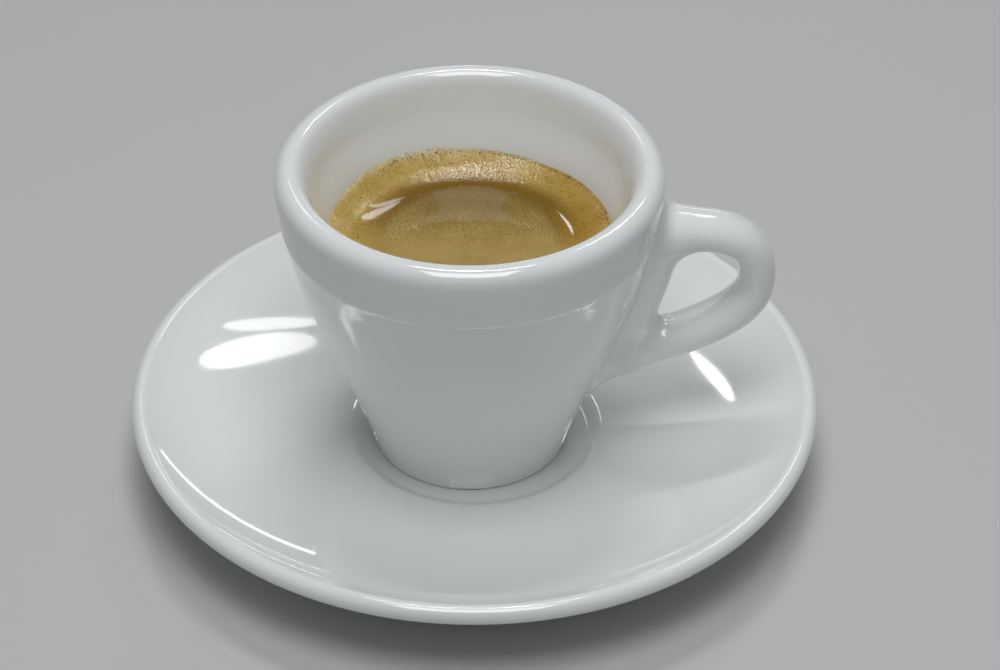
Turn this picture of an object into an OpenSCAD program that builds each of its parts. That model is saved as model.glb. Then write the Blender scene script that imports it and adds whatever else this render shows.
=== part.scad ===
// Espresso shot in a thick-walled porcelain cup on its saucer. All sizes in millimetres.
// Z is up and the saucer's foot stands on Z = 0. The saucer is centred on the Z axis.
// The cup's handle points to +X. Y = 0 is the plane through the cup's axis and the handle.

/* [Saucer] */
// Width across the saucer's rim
saucer_diameter = 122; // [110:1:140]
// Top of the saucer's rim above the table
saucer_height = 15.2; // [13:0.2:18]
// Width across the foot ring underneath
saucer_foot_diameter = 72; // [60:1:82]
// Height of the floor of the well, on which the cup stands
well_height = 4.5; // [4:0.1:5.5]
// How much wider the flat floor of the well is than the cup's foot
well_clearance = 4.8; // [3:0.2:8]
// Step from the floor of the well up to the dish
well_step = 0.9; // [0.6:0.1:1.4]
// Radius of the rolled rim
saucer_bead = 1.7; // [1.4:0.1:2.1]

/* [Cup] */
// Height of the cup from its foot to the top of its lip
cup_height = 57.8; // [52:0.2:70]
// Width across the cup's rim
cup_diameter = 66.4; // [60:0.2:76]
// Width across the cup's foot
foot_diameter = 34.8; // [30:0.2:36]
// Thickness of the wall below the lip
wall = 7.2; // [6:0.1:8]
// Thickness of the rounded lip
lip = 5.4; // [4.6:0.1:6.4]
// Height of the thicker collar that carries the lip
collar_height = 13.6; // [11:0.2:16]
// Thickness of the floor
cup_floor = 6; // [5:0.2:8]
// How far the cup stands off the middle of the saucer, away from the handle
cup_shift = 0.8; // [0:0.1:1]

/* [Handle] */
// How far the handle stands out beyond the cup's rim
handle_reach = 19.5; // [17:0.1:24]
// Height of the middle of the top arm above the cup's foot
handle_top = 44.7; // [40:0.2:46]
// Radius of the round end, measured on the middle of the bar
handle_curl = 10.6; // [9.5:0.1:12.5]
// Height above the cup's foot at which the lower arm meets the wall
handle_root = 15.6; // [12:0.2:18]
// Thickness of the handle's bar, seen from the side
bar_thick = 6.5; // [5.4:0.1:7.4]
// Thickness of the leg that runs down the wall, partly sunk into it
leg_thick = 8.6; // [7.2:0.1:9.6]
// How far the middle of the leg stands off the wall at its lower end
leg_out_low = 2.8; // [2:0.1:3.4]
// How far the middle of the leg stands off the wall at its upper end
leg_out_high = 1.6; // [0.8:0.1:2.4]
// Width of the handle's bar, seen from the end
bar_wide = 9.8; // [8:0.1:11.6]

/* [Espresso] */
// Depth of the drink's edge below the top of the lip
drink_below_rim = 14; // [12:0.1:20]
// How far the middle of the crema lies below its edge
crema_dip = 2.4; // [1:0.1:3.2]
// Width of the crema's raised ring along the wall
crema_ring = 9.5; // [7:0.1:12]
// Clearance between the drink and the wall
drink_gap = 0.05; // [0.02:0.01:0.1]

/* [Hidden] */
$fn = 96;

saucer_r = saucer_diameter / 2;
saucer_foot_r = saucer_foot_diameter / 2;
saucer_foot_height = 1.8;
cup_r = cup_diameter / 2;
foot_r = foot_diameter / 2;
well_r = foot_r + well_clearance / 2;
lip_r = lip / 2;
lip_z = cup_height - lip_r;
collar_z = cup_height - collar_height;
collar_in = 1.5;
drink_z = cup_height - drink_below_rim;

// Points of a curve with two end points and two pulling points.
function bez(a, b, c, d, n) = [for (i = [0:n]) let (t = i / n, s = 1 - t)
    s * s * s * a + 3 * s * s * t * b + 3 * s * t * t * c + t * t * t * d];
// Points of an arc round (x, z) from angle a to angle b.
function arc(x, z, r, a, b, n) =
    [for (i = [0:n]) let (t = a + (b - a) * i / n) [x + r * cos(t), z + r * sin(t)]];
// A direction at an angle to the X axis, as long as l.
function dir(t, l) = [l * cos(t), l * sin(t)];

// The outside of the cup's bowl from its foot up to the collar.
foot_edge = [foot_r, 0.8];
waist = [cup_r - collar_in, collar_z];
side = bez(foot_edge, foot_edge + dir(75, 14), waist - dir(79, 14), waist, 24);
// The outer radius of the bowl at a height above the cup's foot.
function wall_at(z) = lookup(z, [for (p = side) [p[1], p[0]]]);
// The inside of the wall: the same curve set in by the thickness of the wall.
inner_low = [foot_r - 0.45 * wall, cup_floor + 7];
inner_high = [cup_r - collar_in - wall, collar_z];
inner_top = [cup_r - lip, lip_z - 0.4];
bowl = concat([[0, cup_floor]],
    bez([inner_low[0] - 7, cup_floor], [inner_low[0] - 2.5, cup_floor],
        inner_low - dir(66, 4.5), inner_low, 10),
    bez(inner_low, inner_low + dir(66, 10), inner_high - dir(79, 12), inner_high, 16),
    bez(inner_high, inner_high + dir(79, 4), inner_top - dir(83, 4), inner_top, 6));

module saucer_shape() {
    top = well_height + well_step;
    bead = [saucer_r - saucer_bead, saucer_height - saucer_bead];
    dish_end = bead + dir(112, saucer_bead);
    under = bead + dir(-68, saucer_bead);
    polygon(concat(
        [[0, well_height]],
        bez([well_r, well_height], [well_r + 0.9, well_height],
            [well_r + 1, top - 0.1], [well_r + 2.6, top + 0.15], 8),
        bez([well_r + 4, top + 0.35], [well_r + 18, top + 2.3],
            dish_end - dir(34, 9), dish_end, 22),
        arc(bead[0], bead[1], saucer_bead, 104, -60, 14),
        bez(under, under - dir(30, 8), [saucer_foot_r + 12, saucer_foot_height + 1.6],
            [saucer_foot_r + 2.2, saucer_foot_height + 0.2], 18),
        [[saucer_foot_r, 0.6], [saucer_foot_r - 0.7, 0], [saucer_foot_r - 3.3, 0],
         [saucer_foot_r - 4, 0.6], [saucer_foot_r - 5.2, saucer_foot_height],
         [0, saucer_foot_height]]));
}

module cup_outside() {
    polygon(concat(
        [[0, 1.2], [foot_r - 5.6, 1.2], [foot_r - 4.6, 0], [foot_r - 0.7, 0]],
        side,
        bez(waist, waist + dir(79, 1), [cup_r - 0.55, collar_z + 1.2],
            [cup_r - 0.5, collar_z + 3.2], 8),
        [[cup_r - 0.12, lip_z - 3]],
        arc(cup_r - lip_r, lip_z, lip_r, 0, 90, 12),
        [[0, cup_height]]));
}

module cup_inside() {
    polygon(concat(bowl,
        arc(cup_r - lip_r, lip_z, lip_r, 180, 90, 12),
        [[cup_r - lip_r, cup_height + 2], [0, cup_height + 2]]));
}

// A bar of oval section through stations [x, z, angle of the side that faces outwards].
module bar_along(stations, thick) {
    n = 24;
    rows = len(stations);
    polyhedron(
        points = [for (p = stations) for (i = [0:n - 1]) let (a = i * 360 / n,
            out = dir(p[2], thick / 2 * cos(a)))
            [p[0] + out[0], bar_wide / 2 * sin(a), p[1] + out[1]]],
        faces = concat([[for (i = [0:n - 1]) n - 1 - i]],
            [for (k = [0:rows - 2]) for (i = [0:n - 1]) let (j = (i + 1) % n)
                [k * n + i, k * n + j, (k + 1) * n + i]],
            [for (k = [0:rows - 2]) for (i = [0:n - 1]) let (j = (i + 1) % n)
                [(k + 1) * n + i, k * n + j, (k + 1) * n + j]],
            [[for (i = [0:n - 1]) (rows - 1) * n + i]]));
}

curl = [cup_r + handle_reach - bar_thick / 2 - handle_curl, handle_top - handle_curl];
// The lower arm's end lies inside the wall.
root = [wall_at(handle_root), handle_root] - dir(24, wall - 0.5);
root_span = norm(curl - root);
lower_tilt = atan2(curl[1] - root[1], curl[0] - root[0]) - asin(handle_curl / root_span);
leg_low = [wall_at(handle_root + 1) + leg_out_low, handle_root + 1];
leg_high = [wall_at(handle_top - 1.2) + leg_out_high, handle_top - 1.2];
leg_side = atan2(leg_high[1] - leg_low[1], leg_high[0] - leg_low[0]) - 90;

// The handle is a bow of bar with a leg that runs down the outside of the cup.
module handle() {
    bar_along(concat([[curl[0] - 20, handle_top, 90]],
        [for (i = [0:16]) let (t = 90 - (180 - lower_tilt) * i / 16)
            [curl[0] + handle_curl * cos(t), curl[1] + handle_curl * sin(t), t]],
        [[root[0], root[1], lower_tilt - 90]]), bar_thick);
    bar_along([[leg_high[0], leg_high[1], leg_side], [leg_low[0], leg_low[1], leg_side]], leg_thick);
}

module saucer() {
    color("white") rotate_extrude() saucer_shape();
}

module cup() {
    color("white") translate([-cup_shift, 0, well_height]) difference() {
        union() {
            rotate_extrude() cup_outside();
            handle();
        }
        rotate_extrude() cup_inside();
    }
}

// The drink fills the bowl up to its edge. Its top is a shallow dish with a raised ring.
module espresso() {
    wall_r = cup_r - collar_in - wall;
    filled = [for (p = bowl) if (p[1] < drink_z - 0.3) p];
    last = filled[len(filled) - 1];
    past = bowl[len(filled)];
    edge_r = last[0] + (past[0] - last[0]) * (drink_z - last[1]) / (past[1] - last[1]);
    edge = [edge_r - drink_gap, drink_z];
    flat = [edge_r - crema_ring, drink_z - crema_dip];
    color("peru") translate([-cup_shift, 0, well_height]) rotate_extrude() polygon(concat(
        [for (p = filled) [max(0, p[0] - (p[0] > 0 ? drink_gap : 0)), p[1]]],
        bez(edge, edge - [1.2, 0.25], flat + [4.6, 0], flat, 12),
        [[0, drink_z - crema_dip]]));
}

saucer();
cup();
espresso();
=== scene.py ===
"""Espresso in a thick porcelain cup on its saucer."""

import math
import random

import bpy
import numpy as np
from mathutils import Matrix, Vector, kdtree, noise


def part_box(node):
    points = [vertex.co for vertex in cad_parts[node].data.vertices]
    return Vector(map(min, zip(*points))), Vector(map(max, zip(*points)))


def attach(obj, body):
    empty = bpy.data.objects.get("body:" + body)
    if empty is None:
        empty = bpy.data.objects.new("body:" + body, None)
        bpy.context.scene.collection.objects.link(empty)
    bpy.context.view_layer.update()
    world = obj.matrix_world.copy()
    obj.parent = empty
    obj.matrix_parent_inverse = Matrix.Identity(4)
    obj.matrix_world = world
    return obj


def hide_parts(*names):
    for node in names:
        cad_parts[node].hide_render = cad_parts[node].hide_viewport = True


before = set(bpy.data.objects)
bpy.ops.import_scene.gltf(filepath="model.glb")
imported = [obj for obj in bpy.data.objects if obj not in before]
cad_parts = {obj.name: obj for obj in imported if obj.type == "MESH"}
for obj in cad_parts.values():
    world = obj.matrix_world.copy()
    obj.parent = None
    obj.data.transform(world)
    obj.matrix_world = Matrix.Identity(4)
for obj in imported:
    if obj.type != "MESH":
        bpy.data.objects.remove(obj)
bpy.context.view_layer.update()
bpy.ops.object.select_all(action="DESELECT")

MM = 0.001

# ---------------------------------------------------------------- places and sizes
saucer_low, saucer_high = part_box("saucer")
cup_low, cup_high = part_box("cup")
drink_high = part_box("espresso")[1]

SAUCER_R = (saucer_high.y - saucer_low.y) / 2 / MM
SAUCER_H = saucer_high.z / MM
CUP_R = (cup_high.y - cup_low.y) / 2 / MM
CUP_H = (cup_high.z - cup_low.z) / MM
CUP_X = cup_low.x / MM + CUP_R
FOOT_Z = cup_low.z / MM
DRINK_Z = drink_high.z / MM - FOOT_Z

FOOT_R = 17.4
WALL = 7.2
LIP_R = 2.7
LIP_Z = CUP_H - LIP_R
COLLAR_Z = CUP_H - 13.6
COLLAR_IN = 1.5
FLOOR = 6.0
FOOT_RECESS = 1.2
SAUCER_FOOT_R = 36.0
SAUCER_RECESS = 1.8


# ---------------------------------------------------------------- drawing outlines
def heading(degrees, length=1.0):
    t = math.radians(degrees)
    return np.array([math.cos(t), math.sin(t)]) * length


def bend(a, b, c, d, n):
    """A curve from a to d that leaves towards b and arrives from c."""
    t = np.linspace(0, 1, n + 1)[:, None]
    s = 1 - t
    a, b, c, d = (np.asarray(p, float) for p in (a, b, c, d))
    return s**3 * a + 3 * s * s * t * b + 3 * s * t * t * c + t**3 * d


def round_of(x, z, r, start, end, n):
    t = np.radians(np.linspace(start, end, n + 1))
    return np.column_stack([x + r * np.cos(t), z + r * np.sin(t)])


def joined(*runs):
    """One outline from several runs of points, without doubled points."""
    points = np.vstack([np.atleast_2d(r) for r in runs])
    keep = [0]
    for i in range(1, len(points)):
        if np.linalg.norm(points[i] - points[keep[-1]]) > 0.02:
            keep.append(i)
    return points[keep]


def evenly(points, step):
    """The same outline with its points a step apart."""
    gaps = np.linalg.norm(np.diff(points, axis=0), axis=1)
    along = np.concatenate([[0], np.cumsum(gaps)])
    n = max(2, int(round(along[-1] / step)))
    at = np.linspace(0, along[-1], n + 1)
    return np.column_stack([np.interp(at, along, points[:, k]) for k in range(2)])


# ---------------------------------------------------------------- the cup's outline
foot_edge = np.array([FOOT_R, 0.8])
waist = np.array([CUP_R - COLLAR_IN, COLLAR_Z])
inner_low = np.array([FOOT_R - 0.45 * WALL, FLOOR + 7])
inner_high = np.array([CUP_R - COLLAR_IN - WALL, COLLAR_Z])
inner_top = np.array([CUP_R - 6.3, CUP_H - 6.2])
floor_edge = np.array([inner_low[0] - 7, FLOOR])
collar_low = np.array([CUP_R - 0.6, COLLAR_Z + 4.8])

outside = joined(
    bend([FOOT_R - 0.7, 0], [FOOT_R - 0.2, 0], [FOOT_R - 0.1, 0.35], foot_edge, 10),
    bend(foot_edge, foot_edge + heading(75, 14), waist - heading(79, 14), waist, 220),
    bend(waist, waist + heading(79, 2.4), [CUP_R - 0.85, COLLAR_Z + 1.9], collar_low, 30),
    bend(collar_low, [CUP_R - 0.4, COLLAR_Z + 7.0], [CUP_R, LIP_Z - 2.6], [CUP_R, LIP_Z], 50),
    round_of(CUP_R - LIP_R, LIP_Z, LIP_R, 0, 90, 40),
)
inside = joined(
    bend([CUP_R - LIP_R, CUP_H], [CUP_R - 5.0, CUP_H], [CUP_R - 5.6, CUP_H - 3.2], inner_top, 70),
    bend(inner_top, inner_top - heading(77, 2.4), inner_high + heading(76, 2.4), inner_high, 40),
    bend(inner_high, inner_high - heading(76, 12), inner_low + heading(66, 10), inner_low, 140),
    bend(inner_low, inner_low - heading(66, 4.5), [inner_low[0] - 2.5, FLOOR], floor_edge, 50),
    [[0, FLOOR]],
)
underside = joined(
    [[0, FOOT_RECESS]],
    bend([FOOT_R - 6.2, FOOT_RECESS], [FOOT_R - 5.4, FOOT_RECESS], [FOOT_R - 5.2, 0], [FOOT_R - 4.4, 0], 10),
    [[FOOT_R - 0.7, 0]],
)
cup_outline = joined(underside, outside, inside)


def wall_radius(z):
    """Inner radius of the bowl at a height above the cup's foot."""
    rising = inside[::-1]
    return np.interp(z, rising[1:, 1], rising[1:, 0])


# ---------------------------------------------------------------- modelling helpers
def turned(name, outline, steps):
    """An outline in millimetres, drawn point by point and spun round the Z axis."""
    bpy.ops.object.select_all(action="DESELECT")
    bpy.ops.mesh.primitive_plane_add(size=0.001, location=(0, 0, 0))
    piece = bpy.context.object
    piece.name = name
    bpy.ops.object.mode_set(mode="EDIT")
    bpy.ops.mesh.select_all(action="SELECT")
    bpy.ops.mesh.merge(type="CENTER")
    bpy.ops.mesh.select_all(action="SELECT")
    at = np.zeros(2)
    for k, point in enumerate(np.asarray(outline) * MM):
        move = (point[0] - at[0], 0, point[1] - at[1])
        if k == 0:
            bpy.ops.transform.translate(value=move)
        else:
            bpy.ops.mesh.extrude_region_move(TRANSFORM_OT_translate={"value": move})
        at = point
    bpy.ops.mesh.select_all(action="SELECT")
    bpy.ops.mesh.spin(steps=steps, angle=2 * math.pi, center=(0, 0, 0), axis=(0, 0, 1))
    bpy.ops.mesh.select_all(action="SELECT")
    bpy.ops.mesh.remove_doubles(threshold=0.000002)
    bpy.ops.mesh.normals_make_consistent(inside=False)
    bpy.ops.object.mode_set(mode="OBJECT")
    bpy.ops.object.shade_smooth()
    return piece


def points_of(piece):
    co = np.zeros(len(piece.data.vertices) * 3)
    piece.data.vertices.foreach_get("co", co)
    return co.reshape(-1, 3)


def place_points(piece, co):
    piece.data.vertices.foreach_set("co", np.asarray(co, np.float32).ravel())
    piece.data.update()


def shift(piece, x, y, z):
    """Moves a piece's mesh by millimetres and leaves its object at the origin."""
    co = points_of(piece)
    place_points(piece, co + np.array([x, y, z]) * MM)


def note_values(piece, **layers):
    """Keeps numbers on a piece's points, which its material reads by their name."""
    for label, values in layers.items():
        layer = piece.data.attributes.new(label, "FLOAT", "POINT")
        layer.data.foreach_set("value", values.astype(np.float32))


# ---------------------------------------------------------------- the cup's form as distances
HOLD_TOP = CUP_H - 13.3
BAR_THICK = 3.25
BAR_WIDE = 4.85
LEG_THICK = 3.7
LEG_WIDE = 4.7
BOW_TAPER = 13.0
LEG_TAPER = 9.0
BARS_FILLET = 3.0
CORNER = 2.2
WALL_FILLET = 3.4
VOXEL = 0.57
BAR_RINGS = 60
bow = evenly(joined(
    bend([31.0, HOLD_TOP], [43.0, HOLD_TOP + 0.25], [49.75, HOLD_TOP - 0.3], [49.75, HOLD_TOP - 9.8], 60),
    bend([49.75, HOLD_TOP - 9.8], [49.75, HOLD_TOP - 18.6], [37.6, 22.9], [23.8, 16.0], 80),
    bend([23.8, 16.0], [22.4, 15.3], [21.0, 14.6], [19.0, 13.6], 12),
), 0.45)
leg = evenly(bend([20.6, 11.6], [23.4, 15.6], [29.2, 24.0], [33.0, 42.6], 40), 0.9)


def thins(path, thick, thin, length):
    """Half thickness along a path, which falls to a thin end where the handle is stuck to the wall."""
    steps = np.linalg.norm(np.diff(path, axis=0), axis=1)
    left = np.concatenate([np.cumsum(steps[::-1])[::-1], [0]])
    t = np.clip(left / length, 0, 1)
    return thin + (thick - thin) * t * t * (3 - 2 * t)


bow_half = np.column_stack([thins(bow, BAR_THICK, 1.9, BOW_TAPER), thins(bow, BAR_WIDE, 2.6, BOW_TAPER)])
downwards = leg[::-1]
leg_half = np.column_stack(
    [thins(downwards, LEG_THICK, 1.7, LEG_TAPER), thins(downwards, LEG_WIDE, 2.6, LEG_TAPER)]
)[::-1]


class TurnedWall:
    """Distances from the turned outline of the cup, below zero inside the porcelain."""

    def __init__(self, outline):
        self.points = evenly(outline, 0.03)
        along = np.gradient(self.points, axis=0)
        along /= np.linalg.norm(along, axis=1)[:, None]
        self.normals = np.column_stack([along[:, 1], -along[:, 0]])
        self.tree = kdtree.KDTree(len(self.points))
        for i, (r, z) in enumerate(self.points):
            self.tree.insert((r, z, 0), i)
        self.tree.balance()

    def field(self, points):
        """Distance and the direction in which it grows."""
        r = np.hypot(points[:, 0], points[:, 1])
        near = np.array([self.tree.find((a, z, 0))[1] for a, z in zip(r, points[:, 2])])
        n = self.normals[near]
        away = np.column_stack([r, points[:, 2]]) - self.points[near]
        r = np.maximum(r, 1e-6)
        grow = np.column_stack([n[:, 0] * points[:, 0] / r, n[:, 0] * points[:, 1] / r, n[:, 1]])
        return (away * n).sum(1), grow


def bar_distance(points, path, half):
    """Signed distance from a bar of oval section that follows a path in the handle's plane."""
    xz = points[:, [0, 2]]
    a, b = path[:-1], path[1:]
    ab = b - a
    length2 = (ab**2).sum(1)
    out = np.zeros(len(xz))
    for start in range(0, len(xz), 4000):
        p = xz[start : start + 4000, None, :]
        t = np.clip(((p - a) * ab).sum(2) / length2, 0, 1)
        d2 = ((p - a - t[..., None] * ab) ** 2).sum(2)
        row = np.arange(len(d2))
        near = d2.argmin(1)
        u = np.sqrt(d2[row, near])
        v = points[start : start + 4000, 1]
        size = half[near] + (half[near + 1] - half[near]) * t[row, near][:, None]
        thick, wide = size.T
        k1 = np.sqrt((u / thick) ** 2 + (v / wide) ** 2)
        k2 = np.sqrt((u / thick**2) ** 2 + (v / wide**2) ** 2)
        out[start : start + 4000] = k1 * (k1 - 1) / np.maximum(k2, 1e-9)
    return out


def blended(a, b, k):
    """The lesser of two distances, with a fillet where they meet, and the share of the second."""
    h = np.maximum(k - np.abs(a - b), 0) / k
    share = np.where(a < b, h / 2, 1 - h / 2)
    return np.minimum(a, b) - h * h * k / 4, share


def hold_distance(points):
    """Distance from the handle. The fillet between its two bars is wider inside the opening."""
    arm = bar_distance(points, bow, bow_half)
    strut = bar_distance(points, leg, leg_half)
    inside_gap = np.clip((points[:, 0] - 26.0) / 4.0, 0, 1)
    return blended(arm, strut, BARS_FILLET + CORNER * inside_gap)[0]


def hold_field(points, e=0.01):
    """Distance from the handle and the direction in which it grows."""
    here = hold_distance(points)
    grow = np.zeros_like(points)
    for axis in range(3):
        step = np.zeros(3)
        step[axis] = e
        grow[:, axis] = (hold_distance(points + step) - here) / e
    return here, grow


def cup_field(points, wall):
    """Distance from the whole cup, handle and fillets included, and the direction in which it grows."""
    d, g = wall.field(points)
    near = (points[:, 0] > 12) & (np.abs(points[:, 1]) < 13) & (points[:, 2] > 6)
    hold, grow = hold_field(points[near])
    both, share = blended(d[near], hold, WALL_FILLET)
    d[near] = both
    g[near] = g[near] * (1 - share)[:, None] + grow * share[:, None]
    return d, g


# ---------------------------------------------------------------- the cup
def bar_solid(name, path, half):
    """A bar along a path, from a circle that is extruded, turned and moved along it."""
    bpy.ops.object.select_all(action="DESELECT")
    every = max(1, len(path) // BAR_RINGS)
    path, half = path[::every], half[::every]
    tangent = np.gradient(path, axis=0)
    tangent /= np.linalg.norm(tangent, axis=1)[:, None]
    bpy.ops.mesh.primitive_circle_add(vertices=32, radius=1, fill_type="NGON")
    piece = bpy.context.object
    piece.name = name
    bpy.ops.object.mode_set(mode="EDIT")
    bpy.ops.mesh.select_all(action="SELECT")
    for k in range(1, len(path)):
        bpy.ops.mesh.extrude_region_move(TRANSFORM_OT_translate={"value": (0, 0, 1)})
    bpy.ops.object.mode_set(mode="OBJECT")
    co = points_of(piece)
    row = np.clip(np.round(co[:, 2]).astype(int), 0, len(path) - 1)
    normal = np.column_stack([-tangent[:, 1], tangent[:, 0]])
    out = np.zeros_like(co)
    out[:, 0] = path[row, 0] + normal[row, 0] * co[:, 0] * half[row, 0]
    out[:, 2] = path[row, 1] + normal[row, 1] * co[:, 0] * half[row, 0]
    out[:, 1] = co[:, 1] * half[row, 1]
    place_points(piece, out * MM)
    bpy.ops.object.mode_set(mode="EDIT")
    bpy.ops.mesh.select_all(action="SELECT")
    bpy.ops.mesh.normals_make_consistent(inside=False)
    bpy.ops.object.mode_set(mode="OBJECT")
    return piece


def make_cup():
    body = turned("cup_body", evenly(cup_outline, 0.8), 160)
    arm = bar_solid("cup_bow", bow, bow_half)
    strut = bar_solid("cup_leg", leg, leg_half)
    bpy.ops.object.select_all(action="DESELECT")
    for piece in (strut, arm, body):
        piece.select_set(True)
    bpy.context.view_layer.objects.active = body
    bpy.ops.object.join()
    body.name = "porcelain_cup"
    skin = body.modifiers.new("skin", "REMESH")
    skin.mode = "VOXEL"
    skin.voxel_size = VOXEL * MM
    skin.adaptivity = 0
    bpy.ops.object.modifier_apply(modifier="skin")
    # Each point is drawn onto the true form, which has a fillet where the handle meets the wall.
    wall = TurnedWall(cup_outline)
    co = points_of(body) / MM
    for _ in range(3):
        d, grow = cup_field(co, wall)
        steep = np.maximum((grow**2).sum(1), 0.25)
        co -= (np.clip(d, -0.8, 0.8) / steep)[:, None] * grow
    normals = cup_field(co, wall)[1]
    normals /= np.maximum(np.linalg.norm(normals, axis=1), 1e-6)[:, None]
    place_points(body, co * MM)
    bpy.ops.object.shade_smooth()
    body.data.normals_split_custom_set_from_vertices([tuple(n) for n in normals])
    # A thin film of coffee is left on the wall above the drink, mostly at the left.
    height = co[:, 2] - DRINK_Z
    r = np.hypot(co[:, 0], co[:, 1])
    inner = (r < wall_radius(co[:, 2]) + 0.6) & (height > -3)
    side = (0.5 - 0.5 * np.cos(np.arctan2(co[:, 1], co[:, 0]) - math.radians(-12))) ** 2
    film = np.where(inner, np.clip(1 - height / 10.5, 0, 1) ** 1.3 * side, 0)
    # Painted light: the bowl's inside is painted a little whiter than the outside, for the light it catches.
    bowl = np.where(inner, np.clip((CUP_H - 1.5 - co[:, 2]) / 4.0, 0, 1), 0)
    note_values(body, film=film, bowl=bowl)
    shift(body, CUP_X, 0, FOOT_Z)
    return body


cup = make_cup()

# ---------------------------------------------------------------- the saucer
WELL_Z = FOOT_Z
WELL_R = FOOT_R + 2.4
STEP_Z = WELL_Z + 0.9
BEAD = 1.7
bead = np.array([SAUCER_R - BEAD, SAUCER_H - BEAD])
dish_end = bead + heading(112, BEAD)
under = bead + heading(-68, BEAD)
recess_end = np.array([SAUCER_FOOT_R - 5.2, SAUCER_RECESS])
foot_top = np.array([SAUCER_FOOT_R + 2.6, 2.1])
well_end = np.array([WELL_R, WELL_Z])
saucer_outline = joined(
    [[0, SAUCER_RECESS]],
    evenly(np.array([[0, SAUCER_RECESS], recess_end]), 3.0),
    bend(recess_end, recess_end + [0.8, 0], [SAUCER_FOOT_R - 4.2, 0], [SAUCER_FOOT_R - 3.2, 0], 12),
    [[SAUCER_FOOT_R - 0.9, 0]],
    bend([SAUCER_FOOT_R - 0.8, 0], [SAUCER_FOOT_R + 0.2, 0.1], [SAUCER_FOOT_R + 0.3, 1.6], foot_top, 12),
    bend(foot_top, [SAUCER_FOOT_R + 12, 3.9], under - heading(30, 8), under, 34),
    round_of(bead[0], bead[1], BEAD, -60, 104, 26),
    bend(dish_end, dish_end - heading(34, 9), [WELL_R + 18, STEP_Z + 2.3], [WELL_R + 4, STEP_Z + 0.35], 54),
    bend([WELL_R + 3.4, STEP_Z + 0.25], [WELL_R + 1.6, STEP_Z], [WELL_R + 1.5, WELL_Z + 0.1], well_end, 16),
    evenly(np.array([[WELL_R - 0.5, WELL_Z], [0, WELL_Z]]), 2.5),
)
saucer = turned("porcelain_saucer", saucer_outline, 288)

# ---------------------------------------------------------------- the espresso and its crema
CREMA_DIP = 2.4
CREMA_INNER = 14.0
CREMA_MID = 20.0
CREMA_MID_DIP = 1.37
INTO_WALL = 0.12
DRINK_R = wall_radius(DRINK_Z)
flat_end = np.array([CREMA_INNER, -CREMA_DIP])
slope_mid = np.array([CREMA_MID, -CREMA_MID_DIP])
dip = joined(
    [[0, -CREMA_DIP]],
    bend(flat_end, [CREMA_INNER + 2.5, -CREMA_DIP], [CREMA_MID - 1.4, -1.85], slope_mid, 60),
    bend(slope_mid, [CREMA_MID + 1.3, -0.925], [DRINK_R - 1.2, -0.30], [DRINK_R, 0], 60),
)
# The froth begins at a share of the drink's radius, sooner by BACK_FROTH at the back, and is whole after
# FROTH_FADE. It climbs the wall over the last stretch.
FROTH_FROM = 0.82
BACK_FROTH = 0.12
FROTH_FADE = 0.06
CLIMB_FROM = 0.86


def ripple(x, y, scale, seed):
    """Soft bumps between about -1 and 1, finer for a larger scale."""
    return noise.noise(Vector((x * scale, y * scale, seed)))


def around(turn, middle, width):
    """1 in one direction, falling off softly to both sides, all in degrees."""
    return math.exp(-(((turn - middle + 180) % 360 - 180) / width) ** 2)


def lift_at(turn):
    """How far the froth stands up the wall above the level edge, by direction in degrees."""
    x, y = DRINK_R * math.cos(math.radians(turn)), DRINK_R * math.sin(math.radians(turn))
    left_back = around(turn, 122, 34.0)
    ragged = 0.26 * ripple(x, y, 0.55, 9) + 0.10 * ripple(x, y, 1.5, 4)
    return 1.5 * left_back + 0.22 * ripple(x, y, 0.12, 5) + ragged * (0.20 + 0.8 * left_back)


def climb(s):
    """0 over most of the drink, rising to 1 at its edge, for a share of its radius."""
    return max(0.0, (s - CLIMB_FROM) / (1 - CLIMB_FROM)) ** 2


def crema_height(x, y):
    """Height of the crema over the level edge of the drink at a place on it, and how frothy it is there."""
    r = math.hypot(x, y)
    turn = math.degrees(math.atan2(y, x))
    s = r / DRINK_R
    z = np.interp(r, dip[:, 0], dip[:, 1]) + lift_at(turn) * climb(s)
    bumpy = max(0.0, min(1.0, (s - FROTH_FROM + BACK_FROTH * around(turn, 90, 42.0)) / FROTH_FADE))
    z += ripple(x, y, 0.16, 1) * (0.03 + 0.05 * bumpy)
    froth = ripple(x, y, 0.9, 3) * 0.018 + ripple(x, y, 2.2, 7) * 0.013
    return z + froth * bumpy, bumpy


def make_espresso():
    low = [[0, FLOOR - 0.1], [8, FLOOR - 0.1], [12, FLOOR + 1.2]]
    side = [[wall_radius(z) + INTO_WALL, z] for z in np.linspace(FLOOR + 4, DRINK_Z - 0.8, 12)]
    radii = np.concatenate([np.linspace(DRINK_R, CREMA_INNER, 84)[:-1], np.linspace(CREMA_INNER, 0, 26)])
    piece = turned("espresso_and_crema", np.array(low + side + [[r, DRINK_Z] for r in radii]), 560)
    co = points_of(piece) / MM
    on_top = co[:, 2] > DRINK_Z - 0.01
    ring = np.zeros(len(co))
    foam = np.zeros(len(co))
    for i in np.nonzero(on_top)[0]:
        x, y = co[i, 0], co[i, 1]
        r = math.hypot(x, y)
        z, foam[i] = crema_height(x, y)
        ring[i] = r / DRINK_R
        # The edge follows the wall, which leans, so a lifted edge is also a wider one.
        wider = wall_radius(DRINK_Z + z) + INTO_WALL - DRINK_R
        grow = 1 + wider * climb(ring[i]) / max(r, 1.0)
        co[i] = (x * grow, y * grow, DRINK_Z + z)
    place_points(piece, co * MM)
    note_values(piece, ring=ring, foam=foam)
    shift(piece, CUP_X, 0, FOOT_Z)
    return piece


LOOSE_BUBBLES = 420


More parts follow.
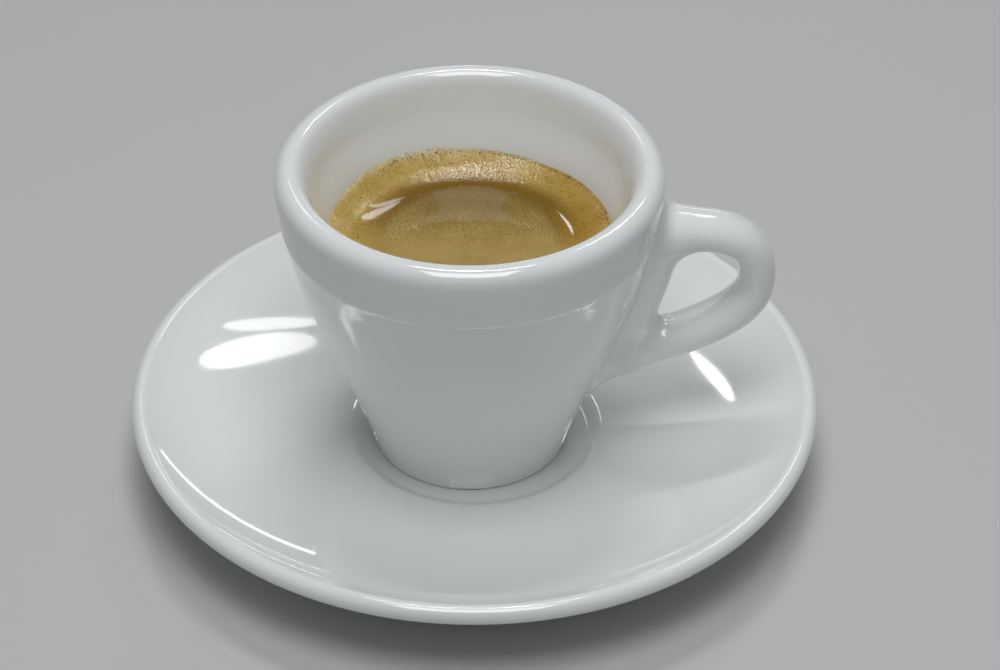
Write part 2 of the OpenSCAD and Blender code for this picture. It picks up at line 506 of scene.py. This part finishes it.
def bubble_places(chance):
    """Places and sizes of the bubbles: a broken line along the back edge, and loose ones in the froth."""
    turn = -20.0
    while turn < 128:
        edge = DRINK_R - 0.25 - 0.35 * chance.random()
        if chance.random() < 0.35 + 0.6 * around(turn, 45, 40.0):
            yield turn, edge, chance.uniform(0.09, 0.20)
        turn += chance.uniform(0.35, 1.3)
    for _ in range(LOOSE_BUBBLES):
        turn = chance.uniform(0, 360)
        r = chance.uniform(18.6, DRINK_R - 0.5)
        if chance.random() < 0.25 + 0.75 * max(around(turn, 150, 50.0), around(turn, 90, 40.0)):
            yield turn, r, chance.uniform(0.07, 0.15)


def make_bubbles():
    """Small domes half sunk in the crema, all one mesh, each a copy of the same small ball."""
    bpy.ops.object.select_all(action="DESELECT")
    bpy.ops.mesh.primitive_ico_sphere_add(subdivisions=2, radius=1)
    piece = bpy.context.object
    piece.name = "crema_bubbles"
    ball = points_of(piece)
    faces = np.array([p.vertices[:] for p in piece.data.polygons])
    spots = []
    for turn, r, size in bubble_places(random.Random(11)):
        x, y = r * math.cos(math.radians(turn)), r * math.sin(math.radians(turn))
        spots.append((x, y, DRINK_Z + crema_height(x, y)[0] - 0.25 * size, size))
    co = np.vstack(
        [ball * np.array([size, size, 0.8 * size]) + np.array([x, y, z]) for x, y, z, size in spots]
    )
    sides = np.vstack([faces + k * len(ball) for k in range(len(spots))])
    piece.data.clear_geometry()
    piece.data.from_pydata((co * MM).tolist(), [], sides.tolist())
    bpy.ops.object.shade_smooth()
    shift(piece, CUP_X, 0, FOOT_Z)
    return piece


bubbles = make_bubbles()
espresso = make_espresso()


# ---------------------------------------------------------------- materials
class Recipe:
    """A material that is written down node by node."""

    def __init__(self, name):
        self.material = bpy.data.materials.new(name)
        self.material.use_nodes = True
        self.tree = self.material.node_tree
        self.shader = self.tree.nodes["Principled BSDF"]

    def node(self, kind, inputs=None, **settings):
        made = self.tree.nodes.new(kind)
        for key, value in settings.items():
            setattr(made, key, value)
        for key, value in (inputs or {}).items():
            socket = made.inputs[key]
            if isinstance(value, bpy.types.NodeSocket):
                self.tree.links.new(value, socket)
            else:
                socket.default_value = value
        return made

    def math(self, operation, a, b=0.0, c=0.0, clamp=False):
        inputs = {0: a, 1: b, 2: c}
        return self.node("ShaderNodeMath", inputs, operation=operation, use_clamp=clamp).outputs[0]

    def spread(self, value, low, high, to_low=0.0, to_high=1.0, smooth=True):
        return self.node(
            "ShaderNodeMapRange",
            {"Value": value, "From Min": low, "From Max": high, "To Min": to_low, "To Max": to_high},
            interpolation_type="SMOOTHSTEP" if smooth else "LINEAR",
        ).outputs[0]

    def mixed(self, share, a, b):
        made = self.node("ShaderNodeMix", data_type="RGBA")
        for socket, value in ((made.inputs[0], share), (made.inputs[6], a), (made.inputs[7], b)):
            if isinstance(value, bpy.types.NodeSocket):
                self.tree.links.new(value, socket)
            else:
                socket.default_value = value
        return made.outputs[2]

    def noise(self, place, scale, detail=2.0, roughness=0.5):
        return self.node(
            "ShaderNodeTexNoise", {"Vector": place, "Scale": scale, "Detail": detail, "Roughness": roughness}
        ).outputs[0]

    def link(self, value, socket):
        self.tree.links.new(value, self.shader.inputs[socket])

    def set(self, **values):
        for key, value in values.items():
            self.shader.inputs[key.replace("_", " ")].default_value = value


def rgb(r, g, b):
    return (r, g, b, 1.0)


def glaze(name, stained):
    """White porcelain glaze. The stained one has the bowl's inside painted whiter as painted light, and the
    film of coffee on its wall.
    """
    m = Recipe(name)
    place = m.node("ShaderNodeTexCoord").outputs["Object"]
    cloud = m.noise(place, 22.0, 3.0)
    tone = m.mixed(m.spread(cloud, 0.3, 0.7), rgb(0.83, 0.85, 0.85), rgb(0.85, 0.868, 0.864))
    if stained:
        # painted light: the inside of the bowl is mixed towards a whiter colour
        bowl = m.node("ShaderNodeAttribute", attribute_name="bowl").outputs["Fac"]
        tone = m.mixed(bowl, tone, rgb(0.905, 0.94, 0.96))
        film = m.node("ShaderNodeAttribute", attribute_name="film").outputs["Fac"]
        patchy = m.spread(m.noise(place, 160.0, 3.0), 0.2, 0.7, 0.5, 1.0)
        stain = m.math("MULTIPLY", m.math("MULTIPLY", film, patchy), 0.26)
        tone = m.mixed(stain, tone, rgb(0.74, 0.64, 0.40))
    m.link(tone, "Base Color")
    m.link(m.spread(m.noise(place, 300.0, 2.0), 0.3, 0.7, 0.04, 0.08), "Roughness")
    waves = m.noise(place, 55.0, 1.0)
    relief = m.node("ShaderNodeBump", {"Height": waves, "Strength": 0.02, "Distance": 0.0006})
    m.link(relief.outputs[0], "Normal")
    m.set(IOR=1.5, Coat_Weight=0.45, Coat_Roughness=0.02)
    return m.material


def crema():
    """The crema: a thin greyer middle with painted shade at its back, a rise round it darkened with painted
    shade, and thick golden froth at the edge.
    """
    m = Recipe("crema")
    place = m.node("ShaderNodeTexCoord").outputs["Object"]
    ring = m.node("ShaderNodeAttribute", attribute_name="ring").outputs["Fac"]
    foam = m.node("ShaderNodeAttribute", attribute_name="foam").outputs["Fac"]
    right, back = m.node("ShaderNodeSeparateXYZ", {0: place}).outputs[:2]
    drift = m.spread(m.noise(place, 130.0, 4.0, 0.6), 0.34, 0.66)
    # the thin middle: golden at the front, painted greyer and darker at the back, a painted shade
    far = m.mixed(drift, rgb(0.215, 0.135, 0.012), rgb(0.275, 0.175, 0.022))
    close = m.mixed(drift, rgb(0.365, 0.250, 0.070), rgb(0.435, 0.305, 0.100))
    middle = m.mixed(m.spread(back, 0.013, 0.0005), far, close)
    # the thick froth round it
    golden = m.mixed(drift, rgb(0.470, 0.312, 0.072), rgb(0.56, 0.395, 0.118))
    amber = m.mixed(drift, rgb(0.365, 0.20, 0.020), rgb(0.445, 0.27, 0.046))
    froth = m.mixed(m.spread(right, 0.004, 0.020), golden, amber)
    base = m.mixed(m.spread(ring, 0.56, 0.72), middle, froth)
    # painted shade: the rise between them is painted the darkest, most of all at the back, where it faces
    # away from the lamps behind
    painted_slope_shade = m.math("MULTIPLY", m.spread(ring, 0.56, 0.66), m.spread(ring, 0.87, 0.72))
    painted_slope_shade = m.math("MULTIPLY", painted_slope_shade, m.spread(back, -0.004, 0.013, 0.12, 0.96))
    base = m.mixed(painted_slope_shade, base, rgb(0.20, 0.105, 0.005))
    pale = m.math("MULTIPLY", m.spread(ring, 0.88, 1.0), m.spread(m.noise(place, 240.0, 3.0), 0.35, 0.65))
    base = m.mixed(m.math("MULTIPLY", pale, 0.45), base, rgb(0.60, 0.48, 0.20))
    # at the left of the back the film on the wall thins out until the porcelain shows
    left = m.math("MULTIPLY", m.spread(right, 0.009, -0.004), m.spread(back, 0.002, 0.014))
    patchy = m.spread(m.noise(place, 1100.0, 3.0, 0.6), 0.40, 0.60, 0.45, 1.0)
    thin = m.math("MULTIPLY", m.math("MULTIPLY", m.spread(ring, 0.955, 0.995), left), patchy)
    base = m.mixed(m.math("MULTIPLY", thin, 0.85), base, rgb(0.70, 0.645, 0.43))
    # pinpricks all over, and larger popped bubbles in the froth
    fine = m.noise(place, 2700.0, 2.0, 0.6)
    dusty = m.math("MULTIPLY", m.spread(fine, 0.50, 0.60), m.spread(back, -0.006, 0.008, 0.22, 0.9))
    dusty = m.math("MULTIPLY", dusty, m.spread(ring, 0.62, 0.74, 1.0, 0.45))
    base = m.mixed(m.math("MULTIPLY", dusty, 0.74), base, rgb(0.105, 0.066, 0.018))
    cells = m.node("ShaderNodeTexVoronoi", {"Vector": place, "Scale": 1250.0})
    chance = m.node("ShaderNodeSeparateColor", {0: cells.outputs["Color"]}).outputs[0]
    chosen = m.math("GREATER_THAN", chance, 0.42)
    dot = m.math("MULTIPLY", m.spread(cells.outputs["Distance"], 0.27, 0.15), chosen)
    dots = m.math("MULTIPLY", dot, m.math("MULTIPLY", m.spread(ring, 0.64, 0.72), m.spread(ring, 0.97, 0.84)))
    base = m.mixed(m.math("MULTIPLY", dots, 0.78), base, rgb(0.15, 0.070, 0.010))
    m.link(base, "Base Color")
    m.link(m.spread(foam, 0.0, 1.0, 0.07, 0.17), "Roughness")
    grain = m.node("ShaderNodeTexVoronoi", {"Vector": place, "Scale": 2500.0}).outputs["Distance"]
    grain = m.math("SUBTRACT", m.math("ADD", grain, fine), m.math("MULTIPLY", dots, 0.8))
    depth = m.spread(foam, 0.0, 1.0, 0.012, 0.24)
    relief = m.node("ShaderNodeBump", {"Height": grain, "Strength": depth, "Distance": 0.00012})
    m.link(relief.outputs[0], "Normal")
    m.link(relief.outputs[0], "Coat Normal")
    m.set(IOR=1.36, Coat_Weight=0.32, Coat_Roughness=0.05)
    m.set(Subsurface_Weight=0.12, Subsurface_Scale=0.0012)
    m.shader.inputs["Subsurface Radius"].default_value = (1.0, 0.6, 0.25)
    return m.material


def bubble_skin():
    """The wet skin of the small bubbles."""
    m = Recipe("bubble_skin")
    place = m.node("ShaderNodeTexCoord").outputs["Object"]
    tone = m.spread(m.noise(place, 900.0, 2.0), 0.35, 0.65)
    m.link(m.mixed(tone, rgb(0.17, 0.10, 0.022), rgb(0.38, 0.25, 0.065)), "Base Color")
    m.link(m.spread(tone, 0.0, 1.0, 0.06, 0.14), "Roughness")
    m.set(IOR=1.36, Coat_Weight=0.6, Coat_Roughness=0.02)
    return m.material


def coat(piece, material):
    piece.data.materials.clear()
    piece.data.materials.append(material)


coat(cup, glaze("white_glaze_cup", True))
coat(saucer, glaze("white_glaze", False))
coat(espresso, crema())
coat(bubbles, bubble_skin())

for piece, node, finish in (
    (cup, "cup", "porcelain"),
    (saucer, "saucer", "porcelain"),
    (espresso, "espresso", "espresso"),
    (bubbles, None, "espresso"),
):
    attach(piece, "root")
    if node:
        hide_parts(node)

# ---------------------------------------------------------------- floor, light and camera
bpy.ops.object.select_all(action="DESELECT")
bpy.ops.mesh.primitive_plane_add(size=6, location=(0, 0, 0))
floor = bpy.context.object
floor.name = "floor"
paper = Recipe("pale_floor")
where = paper.node("ShaderNodeTexCoord").outputs["Object"]
grey = paper.mixed(paper.noise(where, 3.0), rgb(0.53, 0.535, 0.54), rgb(0.555, 0.56, 0.565))
paper.link(grey, "Base Color")
paper.set(Roughness=0.6)
coat(floor, paper.material)


AIM = Vector((0, 0, 0.03))


def softbox(name, azimuth, elevation, distance, width, height, power, tilt=None):
    """A lamp seen in a direction from the saucer's middle, its azimuth from +Y towards +X. It is an oval
    with its long side tilted by an angle, or an untilted rectangle where no tilt is given."""
    a, e = math.radians(azimuth), math.radians(elevation)
    at = Vector((math.sin(a) * math.cos(e), math.cos(a) * math.cos(e), math.sin(e))) * distance
    data = bpy.data.lights.new(name, "AREA")
    data.shape = "RECTANGLE" if tilt is None else "ELLIPSE"
    data.size, data.size_y = width, height
    data.energy = power
    lamp = bpy.data.objects.new(name, data)
    bpy.context.scene.collection.objects.link(lamp)
    lamp.location = at
    lamp.rotation_euler = (AIM - at).to_track_quat("-Z", "Y").to_euler()
    lamp.rotation_euler.rotate_axis("Z", math.radians(tilt or 0))
    lamp.visible_camera = False


softbox("window_upper_pane", 18.8, 49.2, 1.1, 0.21, 0.045, 0.14, tilt=20)
softbox("window_lower_pane", 16.9, 44.5, 1.1, 0.24, 0.095, 0.36, tilt=42)
softbox("side_strip", -15.3, 41.0, 1.1, 0.032, 0.17, 0.14, tilt=0)
softbox("top_strip", 0, 70, 1.1, 0.40, 0.045, 2.2, tilt=0)
softbox("low_strip", 6, 12, 1.2, 0.5, 0.03, 0.25)
softbox("overhead", 180, 74, 1.0, 0.5, 0.5, 4.2)

world = bpy.data.worlds.new("studio")
bpy.context.scene.world = world
world.use_nodes = True
sky = world.node_tree.nodes["Background"]
sky.inputs["Color"].default_value = (0.92, 0.96, 1.0, 1)
sky.inputs["Strength"].default_value = 0.18

bpy.context.scene.view_settings.view_transform = "Standard"

lens = bpy.data.cameras.new("camera")
lens.lens = 106.63
lens.sensor_width = 36
eye = bpy.data.objects.new("camera", lens)
bpy.context.scene.collection.objects.link(eye)
bpy.context.scene.camera = eye
LOOK_FROM = Vector((4.438, -417.24, 340.12)) * MM
LOOK_AT = Vector((4.438, 0, 25.84)) * MM
ROLL = 0.3
eye.location = LOOK_FROM
eye.rotation_euler = (LOOK_AT - LOOK_FROM).to_track_quat("-Z", "Y").to_euler()
eye.rotation_euler.rotate_axis("Z", math.radians(ROLL))

bpy.context.view_layer.update()
